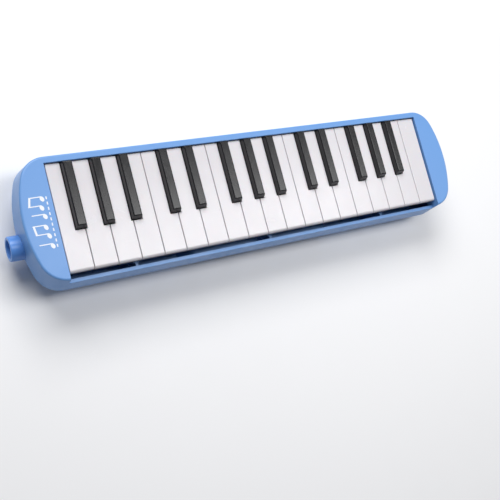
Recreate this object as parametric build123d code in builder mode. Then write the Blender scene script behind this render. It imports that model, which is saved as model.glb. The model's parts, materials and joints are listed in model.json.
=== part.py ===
from build123d import *
import os

os.makedirs("parts", exist_ok=True)

# A 32-key melodica, F3 to C6. +X runs along the keyboard towards the high notes, -Y is the player's
# side and +Z is up. The origin is the centre of the footprint on the base plane. Millimetres.

# ---- Keyboard layout ----
WHITE_PITCH = 19.2
WHITE_COUNT = 19
KEYBOARD_WIDTH = WHITE_COUNT * WHITE_PITCH
WHITE_GAP = 0.5  # between two neighbouring white keys
BLACK_WIDTH = 8.4
BLACK_SIDE_GAP = 0.5  # between a black key and the white keys beside it
BLACK_OFFSETS = {"F": -0.16, "G": 0.0, "A": 0.16, "C": -0.10, "D": 0.10}  # in pitches from the boundary
LETTERS = "FGABCDE"

# ---- Overall sizes ----
CAP_WIDTH = 25.9  # each end of the case, outside the keyboard
SOCKET_REACH = 8.3  # blow socket past the left end of the case
BUTTON_REACH = 2.4  # spit valve button past the right end of the case
TOTAL_LENGTH = SOCKET_REACH + CAP_WIDTH + KEYBOARD_WIDTH + CAP_WIDTH + BUTTON_REACH
CASE_LEFT = -TOTAL_LENGTH / 2 + SOCKET_REACH
CASE_RIGHT = TOTAL_LENGTH / 2 - BUTTON_REACH
CASE_CENTRE = (CASE_LEFT + CASE_RIGHT) / 2
KEYBOARD_LEFT = CASE_LEFT + CAP_WIDTH
KEYBOARD_RIGHT = KEYBOARD_LEFT + KEYBOARD_WIDTH
CASE_HALF_DEPTH = 50.0

# ---- Heights above the base plane ----
ARCH_Z = 12.5  # roof of the hand recess under the case
CHAMBER_BOTTOM_Z = 15.0
PARTING_Z = 20.0  # where the two case halves meet
CHAMBER_RIM_Z = 26.2
FRAME_BOTTOM_Z = 27.0
FRAME_TOP_Z = 30.0
PAD_TOP_Z = 32.5
SKIRT_Z = 37.0  # lower edge of every key
LEDGE_Z = 38.0  # front lip of the case, below the fronts of the keys
PIVOT_Z = 40.0
TAIL_Z = 41.0  # top of the key tails that pass under the rear rail
KEY_ROOF_Z = 42.8  # underside of a key's top wall
WHITE_TOP_Z = 45.0
CASE_TOP_Z = 47.0
BLACK_TOP_Z = 49.8

# ---- Depths, from the player's side to the rear ----
WHITE_FRONT_Y = -41.2
BLACK_FRONT_Y = -9.9
NOTCH_Y = -10.5  # front end of the slots in the white keys
PIVOT_Y = 18.0
PAD_FRONT_Y, PAD_REAR_Y = 29.5, 41.5
KEY_REAR_Y = 42.0
RAIL_Y = 42.6  # front edge of the rear rail
TAIL_END_Y = 45.0

# ---- Walls, rods and clearances ----
CASE_WALL = 2.4
KEY_WALL = 1.3
ROD_RADIUS = 1.25
ROD_CLEARANCE = 0.05

# ---- Case outline ----
END_BOW = 12.0  # how far each end bulges between its corners
CORNER_RADIUS = 21.0
TOP_INSET_END = 0.4
TOP_FRONT_Y = -46.4
TOP_REAR_Y = 47.8
BASE_INSET = 7.0
SEAM_HEIGHT, SEAM_DEPTH = 0.6, 0.4  # fine groove round the parting line

# ---- Air path ----
AIR_Y = -12.0
AIR_Z = 21.2
SOCKET_RADIUS = 9.5
SOCKET_BORE = 7.0
SOCKET_BORE_DEPTH = 14.0
SPIGOT_RADIUS = 3.4
SPIGOT_BORE = 2.4
CHAMBER_LEFT = KEYBOARD_LEFT - 5.0
CHAMBER_RIGHT = KEYBOARD_RIGHT + 5.0
CHAMBER_FRONT_Y, CHAMBER_REAR_Y = -22.0, 45.5
CHAMBER_WALL = 2.0
CHAMBER_END_WALL = 4.0
INNER_CORNER_RADIUS = 4.0  # outer corners of the chamber and the key frame

# ---- Screws ----
FRONT_SCREW_Y = -38.5
CASE_BOSS_POINTS = [
    (CASE_LEFT + 16.5, -25),
    (CASE_LEFT + 16.5, 25),
    (CASE_RIGHT - 16.5, -25),
    (CASE_RIGHT - 16.5, 25),
    (CASE_CENTRE - 125, FRONT_SCREW_Y),
    (CASE_CENTRE, FRONT_SCREW_Y),
    (CASE_CENTRE + 125, FRONT_SCREW_Y),
]
FRAME_BOSS_POINTS = [
    (KEYBOARD_LEFT - 11, 12),
    (KEYBOARD_RIGHT + 11, 12),
    (CASE_CENTRE - 150, -30),
    (CASE_CENTRE + 150, -30),
]
STRAP_SCREW_X, STRAP_SCREW_Y = 94.0, 13.0
CHAMBER_SCREW_POINTS = [(CASE_CENTRE + dx, y) for y in (-12.0, 9.0) for dx in (-144, -52, 52, 144)]


def export(shape, name):
    """Label one finished sub-part and write it as its own STEP file."""
    shape.label = name
    export_step(shape, f"parts/{name}.step")


def centred_box(x, y, z, mode=Mode.ADD):
    """A box from three (low, high) spans, in the current part."""
    spans = (x, y, z)
    with Locations(tuple((low + high) / 2 for low, high in spans)):
        Box(*(high - low for low, high in spans), mode=mode)


def upright(x, y, radius, low, high, mode=Mode.ADD):
    """A vertical cylinder between two heights, in the current part."""
    with Locations((x, y, low)):
        Cylinder(radius, high - low, align=(Align.CENTER, Align.CENTER, Align.MIN), mode=mode)


def bar(x, radius, y=AIR_Y, z=AIR_Z, mode=Mode.ADD):
    """A cylinder along X between two ends, on the axis of the air path unless y and z say otherwise."""
    with Locations(((x[0] + x[1]) / 2, y, z)):
        Cylinder(radius, x[1] - x[0], rotation=(0, 90, 0), mode=mode)


def case_outline(z, end_inset, front, rear, corner):
    """Face of the case at one height: bowed ends, straight front and rear, round corners."""
    left, right = CASE_LEFT + end_inset, CASE_RIGHT - end_inset
    middle = (front + rear) / 2
    with BuildSketch(Plane.XY.offset(z)) as outline:
        with BuildLine():
            Line((left + END_BOW, front), (right - END_BOW, front))
            ThreePointArc((right - END_BOW, front), (right, middle), (right - END_BOW, rear))
            Line((right - END_BOW, rear), (left + END_BOW, rear))
            ThreePointArc((left + END_BOW, rear), (left, middle), (left + END_BOW, front))
        make_face()
        fillet(outline.vertices(), corner)
    return outline.sketch


def upper_loft(inset, top):
    """Tapered block of the upper case, shrunk sideways by inset and ending at height top."""
    share = (top - PARTING_Z) / (CASE_TOP_Z - PARTING_Z)
    front = -CASE_HALF_DEPTH + share * (TOP_FRONT_Y + CASE_HALF_DEPTH)
    rear = CASE_HALF_DEPTH + share * (TOP_REAR_Y - CASE_HALF_DEPTH)
    corner = CORNER_RADIUS - inset
    with BuildPart() as block:
        case_section = case_outline(
            PARTING_Z, inset, -CASE_HALF_DEPTH + inset, CASE_HALF_DEPTH - inset, corner
        )
        top_section = case_outline(top, inset + share * TOP_INSET_END, front + inset, rear - inset, corner)
        loft([case_section, top_section])
    return block.part


def lower_loft(inset, bottom):
    """Tapered block of the lower case, shrunk sideways by inset and reaching down to height bottom."""
    extra = inset + BASE_INSET * (PARTING_Z - bottom) / PARTING_Z
    with BuildPart() as block:
        base = case_outline(
            bottom, extra, -CASE_HALF_DEPTH + extra, CASE_HALF_DEPTH - extra, CORNER_RADIUS - inset
        )
        rim = case_outline(
            PARTING_Z, inset, -CASE_HALF_DEPTH + inset, CASE_HALF_DEPTH - inset, CORNER_RADIUS - inset
        )
        loft([base, rim])
    return block.part


def seam_groove():
    """Thin ring round the parting line, cut from both halves of the case."""
    low = PARTING_Z - SEAM_HEIGHT / 2
    depth = CASE_HALF_DEPTH - SEAM_DEPTH
    with BuildPart() as ring:
        around = case_outline(low, -1, -CASE_HALF_DEPTH - 1, CASE_HALF_DEPTH + 1, CORNER_RADIUS + 1)
        extrude(around, amount=SEAM_HEIGHT)
        kept = case_outline(low, SEAM_DEPTH, -depth, depth, CORNER_RADIUS - SEAM_DEPTH)
        extrude(kept, amount=SEAM_HEIGHT, mode=Mode.SUBTRACT)
    return ring.part


# ---- Key table: name, centre and width of the tail, notches left and right ----
def black_centre(index):
    """X of the black key after white key number index, or None where there is none."""
    if not 0 <= index < WHITE_COUNT - 1:
        return None
    offset = BLACK_OFFSETS.get(LETTERS[index % 7])
    return None if offset is None else KEYBOARD_LEFT + (index + 1 + offset) * WHITE_PITCH


def octave(index):
    """Octave number of a white key, where index 0 is F3 and the number rises at each C."""
    return 3 + (index + 3) // 7


white_keys = []
black_keys = []
slot_half = BLACK_WIDTH / 2 + BLACK_SIDE_GAP
for index in range(WHITE_COUNT):
    letter = LETTERS[index % 7]
    left = KEYBOARD_LEFT + index * WHITE_PITCH + WHITE_GAP / 2
    right = left + WHITE_PITCH - WHITE_GAP
    before, after = black_centre(index - 1), black_centre(index)
    tail_left = left if before is None else before + slot_half
    tail_right = right if after is None else after - slot_half
    white_keys.append((f"white_key_{letter.lower()}{octave(index)}", left, right, tail_left, tail_right))
    if after is not None:
        black_keys.append((f"black_key_{letter.lower()}_sharp_{octave(index)}", after))

tails = [((low + high) / 2, high - low) for _, _, _, low, high in white_keys]
tails += [(centre, BLACK_WIDTH) for _, centre in black_keys]
tails.sort()

# ---- Upper case: tapered shell with the key well, cheeks beside it and a low front lip ----
WELL_SIDE_GAP = 0.8
CHEEK_WALL = 2.0
CHEEK_BOTTOM_Z = 32.0
LIP_REAR_Y = -44.8
CASE_EDGE_RADIUS = 1.6
well_left = KEYBOARD_LEFT - WELL_SIDE_GAP
well_right = KEYBOARD_RIGHT + WELL_SIDE_GAP
BOSS_RADIUS = 3.6
PILOT_RADIUS = 1.4
CASE_PILOT_TOP_Z = 31.0
FRONT_BOSS_TOP_Z = 30.0
FRONT_PILOT_TOP_Z = 28.5
SOCKET_HOLE_RADIUS = 9.6
BUTTON_RADIUS = 5.5
BUTTON_HOLE_RADIUS = 5.8
WELL_EDGE_RADIUS = 0.5

with BuildPart() as upper_cavity:
    add(upper_loft(CASE_WALL, CASE_TOP_Z - CASE_WALL))
    for x, y in CASE_BOSS_POINTS:
        in_front = y == FRONT_SCREW_Y
        top = FRONT_BOSS_TOP_Z if in_front else CASE_TOP_Z
        upright(x, y, BOSS_RADIUS, PARTING_Z, top, Mode.SUBTRACT)
        if in_front:
            centred_box((x - 1.2, x + 1.2), (-CASE_HALF_DEPTH, y), (PARTING_Z, top), Mode.SUBTRACT)
    for low, high in ((well_left - CHEEK_WALL, well_left), (well_right, well_right + CHEEK_WALL)):
        centred_box(
            (low, high), (-CASE_HALF_DEPTH, CASE_HALF_DEPTH), (CHEEK_BOTTOM_Z, CASE_TOP_Z), Mode.SUBTRACT
        )
    centred_box(
        (well_left, well_right), (-CASE_HALF_DEPTH, LIP_REAR_Y), (LEDGE_Z - 4, CASE_TOP_Z), Mode.SUBTRACT
    )

with BuildPart() as upper_case:
    add(upper_loft(0, CASE_TOP_Z))
    fillet(upper_case.faces().sort_by(Axis.Z)[-1].edges(), CASE_EDGE_RADIUS)
    add(seam_groove(), mode=Mode.SUBTRACT)
    add(upper_cavity.part, mode=Mode.SUBTRACT)
    centred_box(
        (well_left, well_right), (-CASE_HALF_DEPTH - 5, RAIL_Y), (LEDGE_Z, CASE_TOP_Z + 5), Mode.SUBTRACT
    )
    top_edges = upper_case.faces().sort_by(Axis.Z)[-1].edges()
    rail_edge = top_edges.filter_by(Axis.X).filter_by_position(Axis.Y, RAIL_Y - 0.1, RAIL_Y + 0.1)
    fillet(rail_edge, WELL_EDGE_RADIUS)
    for x, y in CASE_BOSS_POINTS:
        top = FRONT_PILOT_TOP_Z if y == FRONT_SCREW_Y else CASE_PILOT_TOP_Z
        upright(x, y, PILOT_RADIUS, PARTING_Z, top, Mode.SUBTRACT)
    bar((CASE_LEFT - 1, CASE_LEFT + 9), SOCKET_HOLE_RADIUS, mode=Mode.SUBTRACT)
    bar((CASE_RIGHT - 6, CASE_RIGHT + 1), BUTTON_HOLE_RADIUS, mode=Mode.SUBTRACT)
export(upper_case.part, "upper_case")

# ---- Lower case: tub with an arched hand recess, pockets for the strap and screw posts ----
ARCH_HALF_LENGTH = 78.0
ARCH_ROOF_HALF_LENGTH = 66.0
ARCH_ROOF_RADIUS = 8.0
POCKET_START = 71.0
POCKET_END = 106.0
POCKET_HALF_WIDTH = 23.0
POCKET_Z = 4.8
LOWER_EDGE_RADIUS = 3.0
POST_RADIUS = 4.4
HEAD_HOLE_RADIUS = 3.1
SCREW_HOLE_RADIUS = 1.6
CASE_HEAD_Z = 9.0  # where the heads of the case and frame screws sit
STRAP_PILOT_TOP_Z = 12.0


def screw_head_z(x):
    """Height of the seat under a case or frame screw's head, which is higher above the hand recess."""
    return CASE_HEAD_Z if abs(x - CASE_CENTRE) > ARCH_HALF_LENGTH else ARCH_Z + 3


def arch_block(grow):
    """Hand recess as a trapezoid across the whole depth, grown by grow on its roof and ramps."""
    foot = ARCH_HALF_LENGTH + grow
    roof_reach = ARCH_ROOF_HALF_LENGTH + grow
    with BuildPart() as block:
        with BuildSketch(Plane.XZ.offset(-CASE_HALF_DEPTH - 5)):
            with BuildLine():
                Polyline(
                    (CASE_CENTRE - foot, -1),
                    (CASE_CENTRE - foot, 0),
                    (CASE_CENTRE - roof_reach, ARCH_Z + grow),
                    (CASE_CENTRE + roof_reach, ARCH_Z + grow),
                    (CASE_CENTRE + foot, 0),
                    (CASE_CENTRE + foot, -1),
                    close=True,
                )
            make_face()
        extrude(amount=2 * CASE_HALF_DEPTH + 10)
        fillet(block.edges().filter_by(Axis.Y).group_by(Axis.Z)[-1], ARCH_ROOF_RADIUS)
    return block.part


with BuildPart() as lower_cavity:
    add(lower_loft(CASE_WALL, CASE_WALL))
    add(arch_block(CASE_WALL - 0.2), mode=Mode.SUBTRACT)
    for side in (-1, 1):
        inner = CASE_CENTRE + side * ARCH_HALF_LENGTH
        low, high = sorted((inner, CASE_CENTRE + side * (POCKET_END + CASE_WALL)))
        reach = POCKET_HALF_WIDTH + CASE_WALL
        centred_box((low, high), (-reach, reach), (0, POCKET_Z + CASE_WALL), Mode.SUBTRACT)
        for y in (-STRAP_SCREW_Y, STRAP_SCREW_Y):
            x = CASE_CENTRE + side * STRAP_SCREW_X
            upright(x, y, BOSS_RADIUS, 0, STRAP_PILOT_TOP_Z + 1, Mode.SUBTRACT)
    for x, y in CASE_BOSS_POINTS + FRAME_BOSS_POINTS:
        upright(x, y, POST_RADIUS, 0, PARTING_Z, Mode.SUBTRACT)

with BuildPart() as lower_case:
    add(lower_loft(0, 0))
    fillet(lower_case.faces().sort_by(Axis.Z)[0].edges(), LOWER_EDGE_RADIUS)
    add(seam_groove(), mode=Mode.SUBTRACT)
    add(lower_cavity.part, mode=Mode.SUBTRACT)
    for x, y in FRAME_BOSS_POINTS:
        upright(x, y, POST_RADIUS, PARTING_Z, FRAME_BOTTOM_Z)
    add(arch_block(0), mode=Mode.SUBTRACT)
    for side in (-1, 1):
        low, high = sorted((CASE_CENTRE + side * POCKET_START, CASE_CENTRE + side * POCKET_END))
        centred_box((low, high), (-POCKET_HALF_WIDTH, POCKET_HALF_WIDTH), (-1, POCKET_Z), Mode.SUBTRACT)
        for y in (-STRAP_SCREW_Y, STRAP_SCREW_Y):
            x = CASE_CENTRE + side * STRAP_SCREW_X
            upright(x, y, PILOT_RADIUS, 0, STRAP_PILOT_TOP_Z, Mode.SUBTRACT)
    for x, y in CASE_BOSS_POINTS + FRAME_BOSS_POINTS:
        upright(x, y, SCREW_HOLE_RADIUS, 0, FRAME_TOP_Z, Mode.SUBTRACT)
        upright(x, y, HEAD_HOLE_RADIUS, 0, screw_head_z(x), Mode.SUBTRACT)
    bar((CASE_LEFT - 1, CASE_LEFT + 9), SOCKET_HOLE_RADIUS, mode=Mode.SUBTRACT)
    bar((CASE_RIGHT - 6, CASE_RIGHT + 1), BUTTON_HOLE_RADIUS, mode=Mode.SUBTRACT)
export(lower_case.part, "lower_case")

# ---- Key frame: valve deck with its cell block below, rod posts and stop ribs above ----
FRAME_LEFT, FRAME_RIGHT = CHAMBER_LEFT - 0.6, CHAMBER_RIGHT + 0.6
FRAME_FRONT_Y, FRAME_REAR_Y = -34.0, 45.6
CELL_FRONT_Y, CELL_REAR_Y = 15.0, 41.4
CELL_WIDTH = 6.0
CELL_BOTTOM_Z = 22.8
CELL_ROOF_Z = 28.2
BLOCK_MARGIN = 1.6  # solid wall of the cell block around the cells
PALLET_WIDTH = 4.4
PALLET_FRONT_Y, PALLET_REAR_Y = 31.5, 39.5
POST_WIDTH = 2.4
POST_DEPTH = 7.0
POST_TOP_Z = 41.9
FELT_THICKNESS = 1.4
WHITE_STOP_Y, WHITE_STOP_Z = (-33.0, -27.0), 33.8
BLACK_STOP_Y, BLACK_STOP_Z = (-9.0, -4.0), 34.4
FRAME_HOLE_RADIUS = 1.4
CHAMBER_PILOT_RADIUS = 1.0
EAR_HALF = 5.0
reed_cells = [centre for centre, _ in tails]

with BuildPart() as key_frame:
    centred_box((FRAME_LEFT, FRAME_RIGHT), (FRAME_FRONT_Y, FRAME_REAR_Y), (FRAME_BOTTOM_Z, FRAME_TOP_Z))
    fillet(key_frame.edges().filter_by(Axis.Z), INNER_CORNER_RADIUS)
    for x, y in FRAME_BOSS_POINTS[:2]:
        inner = FRAME_LEFT + 1 if x < CASE_CENTRE else FRAME_RIGHT - 1
        outer = x - EAR_HALF if x < CASE_CENTRE else x + EAR_HALF
        low, high = sorted((inner, outer))
        centred_box((low, high), (y - EAR_HALF, y + EAR_HALF), (FRAME_BOTTOM_Z, FRAME_TOP_Z))
    for (front, rear), top in ((WHITE_STOP_Y, WHITE_STOP_Z), (BLACK_STOP_Y, BLACK_STOP_Z)):
        centred_box(
            (KEYBOARD_LEFT, KEYBOARD_RIGHT), (front, rear), (FRAME_TOP_Z, top - FELT_THICKNESS)
        )
    centred_box(
        (reed_cells[0] - CELL_WIDTH / 2 - BLOCK_MARGIN, reed_cells[-1] + CELL_WIDTH / 2 + BLOCK_MARGIN),
        (CELL_FRONT_Y - BLOCK_MARGIN, CELL_REAR_Y + BLOCK_MARGIN),
        (CELL_BOTTOM_Z, FRAME_BOTTOM_Z),
    )
    for x in reed_cells:
        centred_box(
            (x - POST_WIDTH / 2, x + POST_WIDTH / 2),
            (PIVOT_Y - POST_DEPTH / 2, PIVOT_Y + POST_DEPTH / 2),
            (FRAME_TOP_Z, POST_TOP_Z),
        )
    for x in reed_cells:
        cell = (x - CELL_WIDTH / 2, x + CELL_WIDTH / 2)
        pallet = (x - PALLET_WIDTH / 2, x + PALLET_WIDTH / 2)
        centred_box(cell, (CELL_FRONT_Y, CELL_REAR_Y), (CELL_BOTTOM_Z, CELL_ROOF_Z), Mode.SUBTRACT)
        centred_box(pallet, (PALLET_FRONT_Y, PALLET_REAR_Y), (CELL_ROOF_Z, FRAME_TOP_Z), Mode.SUBTRACT)
    bar((FRAME_LEFT, FRAME_RIGHT), ROD_RADIUS, PIVOT_Y, PIVOT_Z, Mode.SUBTRACT)
    for x, y in FRAME_BOSS_POINTS:
        upright(x, y, FRAME_HOLE_RADIUS, FRAME_BOTTOM_Z, FRAME_TOP_Z, Mode.SUBTRACT)
    for x, y in CHAMBER_SCREW_POINTS:
        upright(x, y, CHAMBER_PILOT_RADIUS, FRAME_BOTTOM_Z, FRAME_TOP_Z, Mode.SUBTRACT)
export(key_frame.part, "key_frame")

with BuildPart() as key_pivot_rod:
    bar((KEYBOARD_LEFT - 0.4, KEYBOARD_RIGHT + 0.4), ROD_RADIUS, PIVOT_Y, PIVOT_Z)
    chamfer(key_pivot_rod.edges(), 0.3)
export(key_pivot_rod.part, "key_pivot_rod")

for name, (front, rear), top in (
    ("white_key_stop_felt", WHITE_STOP_Y, WHITE_STOP_Z),
    ("black_key_stop_felt", BLACK_STOP_Y, BLACK_STOP_Z),
):
    with BuildPart() as felt:
        centred_box((KEYBOARD_LEFT, KEYBOARD_RIGHT), (front, rear), (top - FELT_THICKNESS, top))
    export(felt.part, name)


# ---- Keys: hollow levers, each with its pad under the tail ----
PAD_WIDTH = 7.6
FOOT_FRONT_Y = PAD_FRONT_Y - 1
FOOT_FLOOR = 1.6
WHITE_EDGE_RADIUS = 0.5
WHITE_FRONT_RADIUS = 2.0
BLACK_SHOULDER_Z = 45.4
BLACK_TOP_WIDTH = 7.0
BLACK_TOP_FRONT_Y = -8.0
BLACK_TOP_REAR_Y = 41.7
BLACK_EDGE_RADIUS = 1.1


def key_tail(low, high):
    """Foot over the pallet and the low tail under the rail, in the current part."""
    centred_box((low, high), (FOOT_FRONT_Y, KEY_REAR_Y), (PAD_TOP_Z, SKIRT_Z + 1))
    centred_box((low, high), (KEY_REAR_Y - 1, TAIL_END_Y), (SKIRT_Z, TAIL_Z))


def hollow_key(low, high, front, roof):
    """Empty a key's lever from below, keeping the floor of its foot, and bore it for the rod."""
    inner = (low + KEY_WALL, high - KEY_WALL)
    foot_inner_y = (FOOT_FRONT_Y + KEY_WALL, KEY_REAR_Y - KEY_WALL)
    centred_box(inner, (front, foot_inner_y[0]), (SKIRT_Z, roof), Mode.SUBTRACT)
    centred_box(inner, foot_inner_y, (PAD_TOP_Z + FOOT_FLOOR, roof), Mode.SUBTRACT)
    bar((low, high), ROD_RADIUS + ROD_CLEARANCE, PIVOT_Y, PIVOT_Z, Mode.SUBTRACT)


def key_pad(centre):
    """Felt and rubber pad on the underside of the foot, in the current part."""
    half = PAD_WIDTH / 2
    centred_box((centre - half, centre + half), (PAD_FRONT_Y, PAD_REAR_Y), (FRAME_TOP_Z, PAD_TOP_Z))


def white_key(left, right, tail_left, tail_right):
    """A white key with a wide front and a tail narrowed for the black keys beside it."""
    with BuildPart() as key:
        with BuildSketch(Plane.XY.offset(SKIRT_Z)) as outline:
            with BuildLine():
                points = [(left, WHITE_FRONT_Y), (right, WHITE_FRONT_Y)]
                if tail_right < right:
                    points += [(right, NOTCH_Y), (tail_right, NOTCH_Y)]
                points += [(tail_right, KEY_REAR_Y), (tail_left, KEY_REAR_Y)]
                if tail_left > left:
                    points += [(tail_left, NOTCH_Y), (left, NOTCH_Y)]
                Polyline(*points, close=True)
            make_face()
        extrude(amount=WHITE_TOP_Z - SKIRT_Z)
        fillet(key.faces().sort_by(Axis.Z)[-1].edges().sort_by(Axis.Y)[0], WHITE_FRONT_RADIUS)
        top_edges = key.faces().sort_by(Axis.Z)[-1].edges().sort_by(Axis.Y)[1:]
        fillet(top_edges, WHITE_EDGE_RADIUS)
        key_tail(tail_left, tail_right)
        centred_box(
            (left + KEY_WALL, right - KEY_WALL),
            (WHITE_FRONT_Y + KEY_WALL, NOTCH_Y - KEY_WALL),
            (SKIRT_Z, KEY_ROOF_Z),
            Mode.SUBTRACT,
        )
        hollow_key(tail_left, tail_right, NOTCH_Y - KEY_WALL, KEY_ROOF_Z)
    with BuildPart() as pad:
        key_pad((tail_left + tail_right) / 2)
    return Compound([key.part.solid(), pad.part.solid()])


def black_key(centre):
    """A black key with drafted sides and a sloped front."""
    half = BLACK_WIDTH / 2
    with BuildPart() as key:
        centred_box((centre - half, centre + half), (BLACK_FRONT_Y, KEY_REAR_Y), (SKIRT_Z, BLACK_SHOULDER_Z))
        with BuildSketch(Plane.XY.offset(BLACK_SHOULDER_Z)):
            with Locations((centre, (BLACK_FRONT_Y + KEY_REAR_Y) / 2)):
                Rectangle(BLACK_WIDTH, KEY_REAR_Y - BLACK_FRONT_Y)
        with BuildSketch(Plane.XY.offset(BLACK_TOP_Z)):
            with Locations((centre, (BLACK_TOP_FRONT_Y + BLACK_TOP_REAR_Y) / 2)):
                Rectangle(BLACK_TOP_WIDTH, BLACK_TOP_REAR_Y - BLACK_TOP_FRONT_Y)
        loft()
        fillet(key.faces().sort_by(Axis.Z)[-1].edges(), BLACK_EDGE_RADIUS)
        key_tail(centre - half, centre + half)
        hollow_key(centre - half, centre + half, BLACK_FRONT_Y + KEY_WALL, KEY_ROOF_Z)
    with BuildPart() as pad:
        key_pad(centre)
    return Compound([key.part.solid(), pad.part.solid()])


for name, *edges in white_keys:
    export(white_key(*edges), name)
for name, centre in black_keys:
    export(black_key(centre), name)

# ---- Key springs: one coil under each key, in front of the pivot rod ----
SPRING_Y = 6.0
SPRING_RADIUS = 2.2
SPRING_WIRE = 0.5

with BuildPart() as key_springs:
    for x in reed_cells:
        upright(x, SPRING_Y, SPRING_RADIUS, FRAME_TOP_Z, KEY_ROOF_Z)
        upright(x, SPRING_Y, SPRING_RADIUS - SPRING_WIRE, FRAME_TOP_Z, KEY_ROOF_Z, Mode.SUBTRACT)
export(key_springs.part, "key_springs")

# ---- Wind chamber: tray below the valve deck, with its gasket and screws ----
CHAMBER_FLOOR = 2.0
CHAMBER_BOSS_RADIUS = 3.2
CHAMBER_HEAD_RADIUS, CHAMBER_HEAD_DEPTH = 2.2, 1.4
chamber_seat_z = CHAMBER_BOTTOM_Z + CHAMBER_HEAD_DEPTH
SEAL_RADIUS = 4.4
SEAL_DEPTH = 1.5
DRAIN_RADIUS = 2.6
chamber_outer_x = (CHAMBER_LEFT, CHAMBER_RIGHT)
chamber_outer_y = (CHAMBER_FRONT_Y, CHAMBER_REAR_Y)
chamber_inner_z = (CHAMBER_BOTTOM_Z + CHAMBER_FLOOR, CHAMBER_RIM_Z)
chamber_inner_x = (CHAMBER_LEFT + CHAMBER_END_WALL, CHAMBER_RIGHT - CHAMBER_END_WALL)
chamber_inner_y = (CHAMBER_FRONT_Y + CHAMBER_WALL, CHAMBER_REAR_Y - CHAMBER_WALL)

with BuildPart() as wind_chamber:
    centred_box(chamber_outer_x, chamber_outer_y, (CHAMBER_BOTTOM_Z, CHAMBER_RIM_Z))
    fillet(wind_chamber.edges().filter_by(Axis.Z), INNER_CORNER_RADIUS)
    centred_box(chamber_inner_x, chamber_inner_y, chamber_inner_z, Mode.SUBTRACT)
    for x, y in CHAMBER_SCREW_POINTS:
        upright(x, y, CHAMBER_BOSS_RADIUS, CHAMBER_BOTTOM_Z, FRAME_BOTTOM_Z)
    for x, y in CHAMBER_SCREW_POINTS:
        upright(x, y, CHAMBER_PILOT_RADIUS, CHAMBER_BOTTOM_Z, FRAME_BOTTOM_Z, Mode.SUBTRACT)
        upright(x, y, CHAMBER_HEAD_RADIUS, CHAMBER_BOTTOM_Z, chamber_seat_z, Mode.SUBTRACT)
    bar((CHAMBER_LEFT, chamber_inner_x[0]), SPIGOT_RADIUS, mode=Mode.SUBTRACT)
    bar((CHAMBER_LEFT, CHAMBER_LEFT + SEAL_DEPTH), SEAL_RADIUS, mode=Mode.SUBTRACT)
    bar((chamber_inner_x[1], CHAMBER_RIGHT), DRAIN_RADIUS, mode=Mode.SUBTRACT)
export(wind_chamber.part, "wind_chamber")

with BuildPart() as chamber_gasket:
    centred_box(chamber_outer_x, chamber_outer_y, (CHAMBER_RIM_Z, FRAME_BOTTOM_Z))
    fillet(chamber_gasket.edges().filter_by(Axis.Z), INNER_CORNER_RADIUS)
    centred_box(chamber_inner_x, chamber_inner_y, (CHAMBER_RIM_Z, FRAME_BOTTOM_Z), Mode.SUBTRACT)
export(chamber_gasket.part, "chamber_gasket")

with BuildPart() as chamber_screws:
    for x, y in CHAMBER_SCREW_POINTS:
        upright(x, y, CHAMBER_PILOT_RADIUS, CHAMBER_BOTTOM_Z, FRAME_TOP_Z - 0.6)
        upright(x, y, CHAMBER_HEAD_RADIUS - 0.1, CHAMBER_BOTTOM_Z + 0.1, chamber_seat_z)
export(chamber_screws.part, "chamber_screws")

# ---- Reed plates and reeds, one half of the notes each ----
PLATE_THICKNESS = 1.2
PLATE_GAP = 0.8
REED_THICKNESS = 0.3
REED_ROOT = 4.5  # length of a reed's fixed end on the plate
LONGEST_REED, SHORTEST_REED = 21.0, 11.0
SLOT_CLEARANCE = 0.15
LOW_REED_WIDTH, HIGH_REED_WIDTH = 3.4, 2.2
REED_ROOT_Y = 17.0
PLATE_SCREW_RADIUS = 0.9
plate_top = CELL_BOTTOM_Z
plate_bottom = CELL_BOTTOM_Z - PLATE_THICKNESS
plate_split = (reed_cells[15] + reed_cells[16]) / 2
plate_ends = (reed_cells[0] - CELL_WIDTH / 2 - 1, reed_cells[-1] + CELL_WIDTH / 2 + 1)
plate_halves = {
    "low": (range(0, 16), plate_ends[0], plate_split - PLATE_GAP / 2),
    "high": (range(16, 32), plate_split + PLATE_GAP / 2, plate_ends[1]),
}


def reed_size(note):
    """Free length and width of the reed of one note, both falling evenly with pitch."""
    share = note / (len(reed_cells) - 1)
    length = LONGEST_REED + share * (SHORTEST_REED - LONGEST_REED)
    return length, LOW_REED_WIDTH + share * (HIGH_REED_WIDTH - LOW_REED_WIDTH)


def plate_screw_xs(low, high):
    """Four places along one plate, in the walls between cells, for its screws."""
    walls = [(a + b) / 2 for a, b in zip(reed_cells, reed_cells[1:]) if low < a and b < high]
    return [walls[1], walls[5], walls[9], walls[13]]


screw_ys = (CELL_FRONT_Y + 1.5, CELL_REAR_Y - 1.5)
for register, (notes, low, high) in plate_halves.items():
    with BuildPart() as reed_plate:
        centred_box((low, high), (CELL_FRONT_Y - 1, CELL_REAR_Y + 1), (plate_bottom, plate_top))
        for note in notes:
            length, width = reed_size(note)
            half = width / 2 + SLOT_CLEARANCE
            x = reed_cells[note]
            centred_box(
                (x - half, x + half),
                (REED_ROOT_Y + REED_ROOT, REED_ROOT_Y + REED_ROOT + length - 2),
                (plate_bottom, plate_top),
                Mode.SUBTRACT,
            )
        for x in plate_screw_xs(low, high):
            for y in screw_ys:
                upright(x, y, PLATE_SCREW_RADIUS, plate_bottom, plate_top, Mode.SUBTRACT)
    export(reed_plate.part, f"reed_plate_{register}")
    with BuildPart() as reeds:
        for note in notes:
            length, width = reed_size(note)
            x = reed_cells[note]
            centred_box(
                (x - width / 2, x + width / 2),
                (REED_ROOT_Y, REED_ROOT_Y + REED_ROOT + length - 2.4),
                (plate_bottom - REED_THICKNESS, plate_bottom),
            )
    export(reeds.part, f"reeds_{register}")

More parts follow.
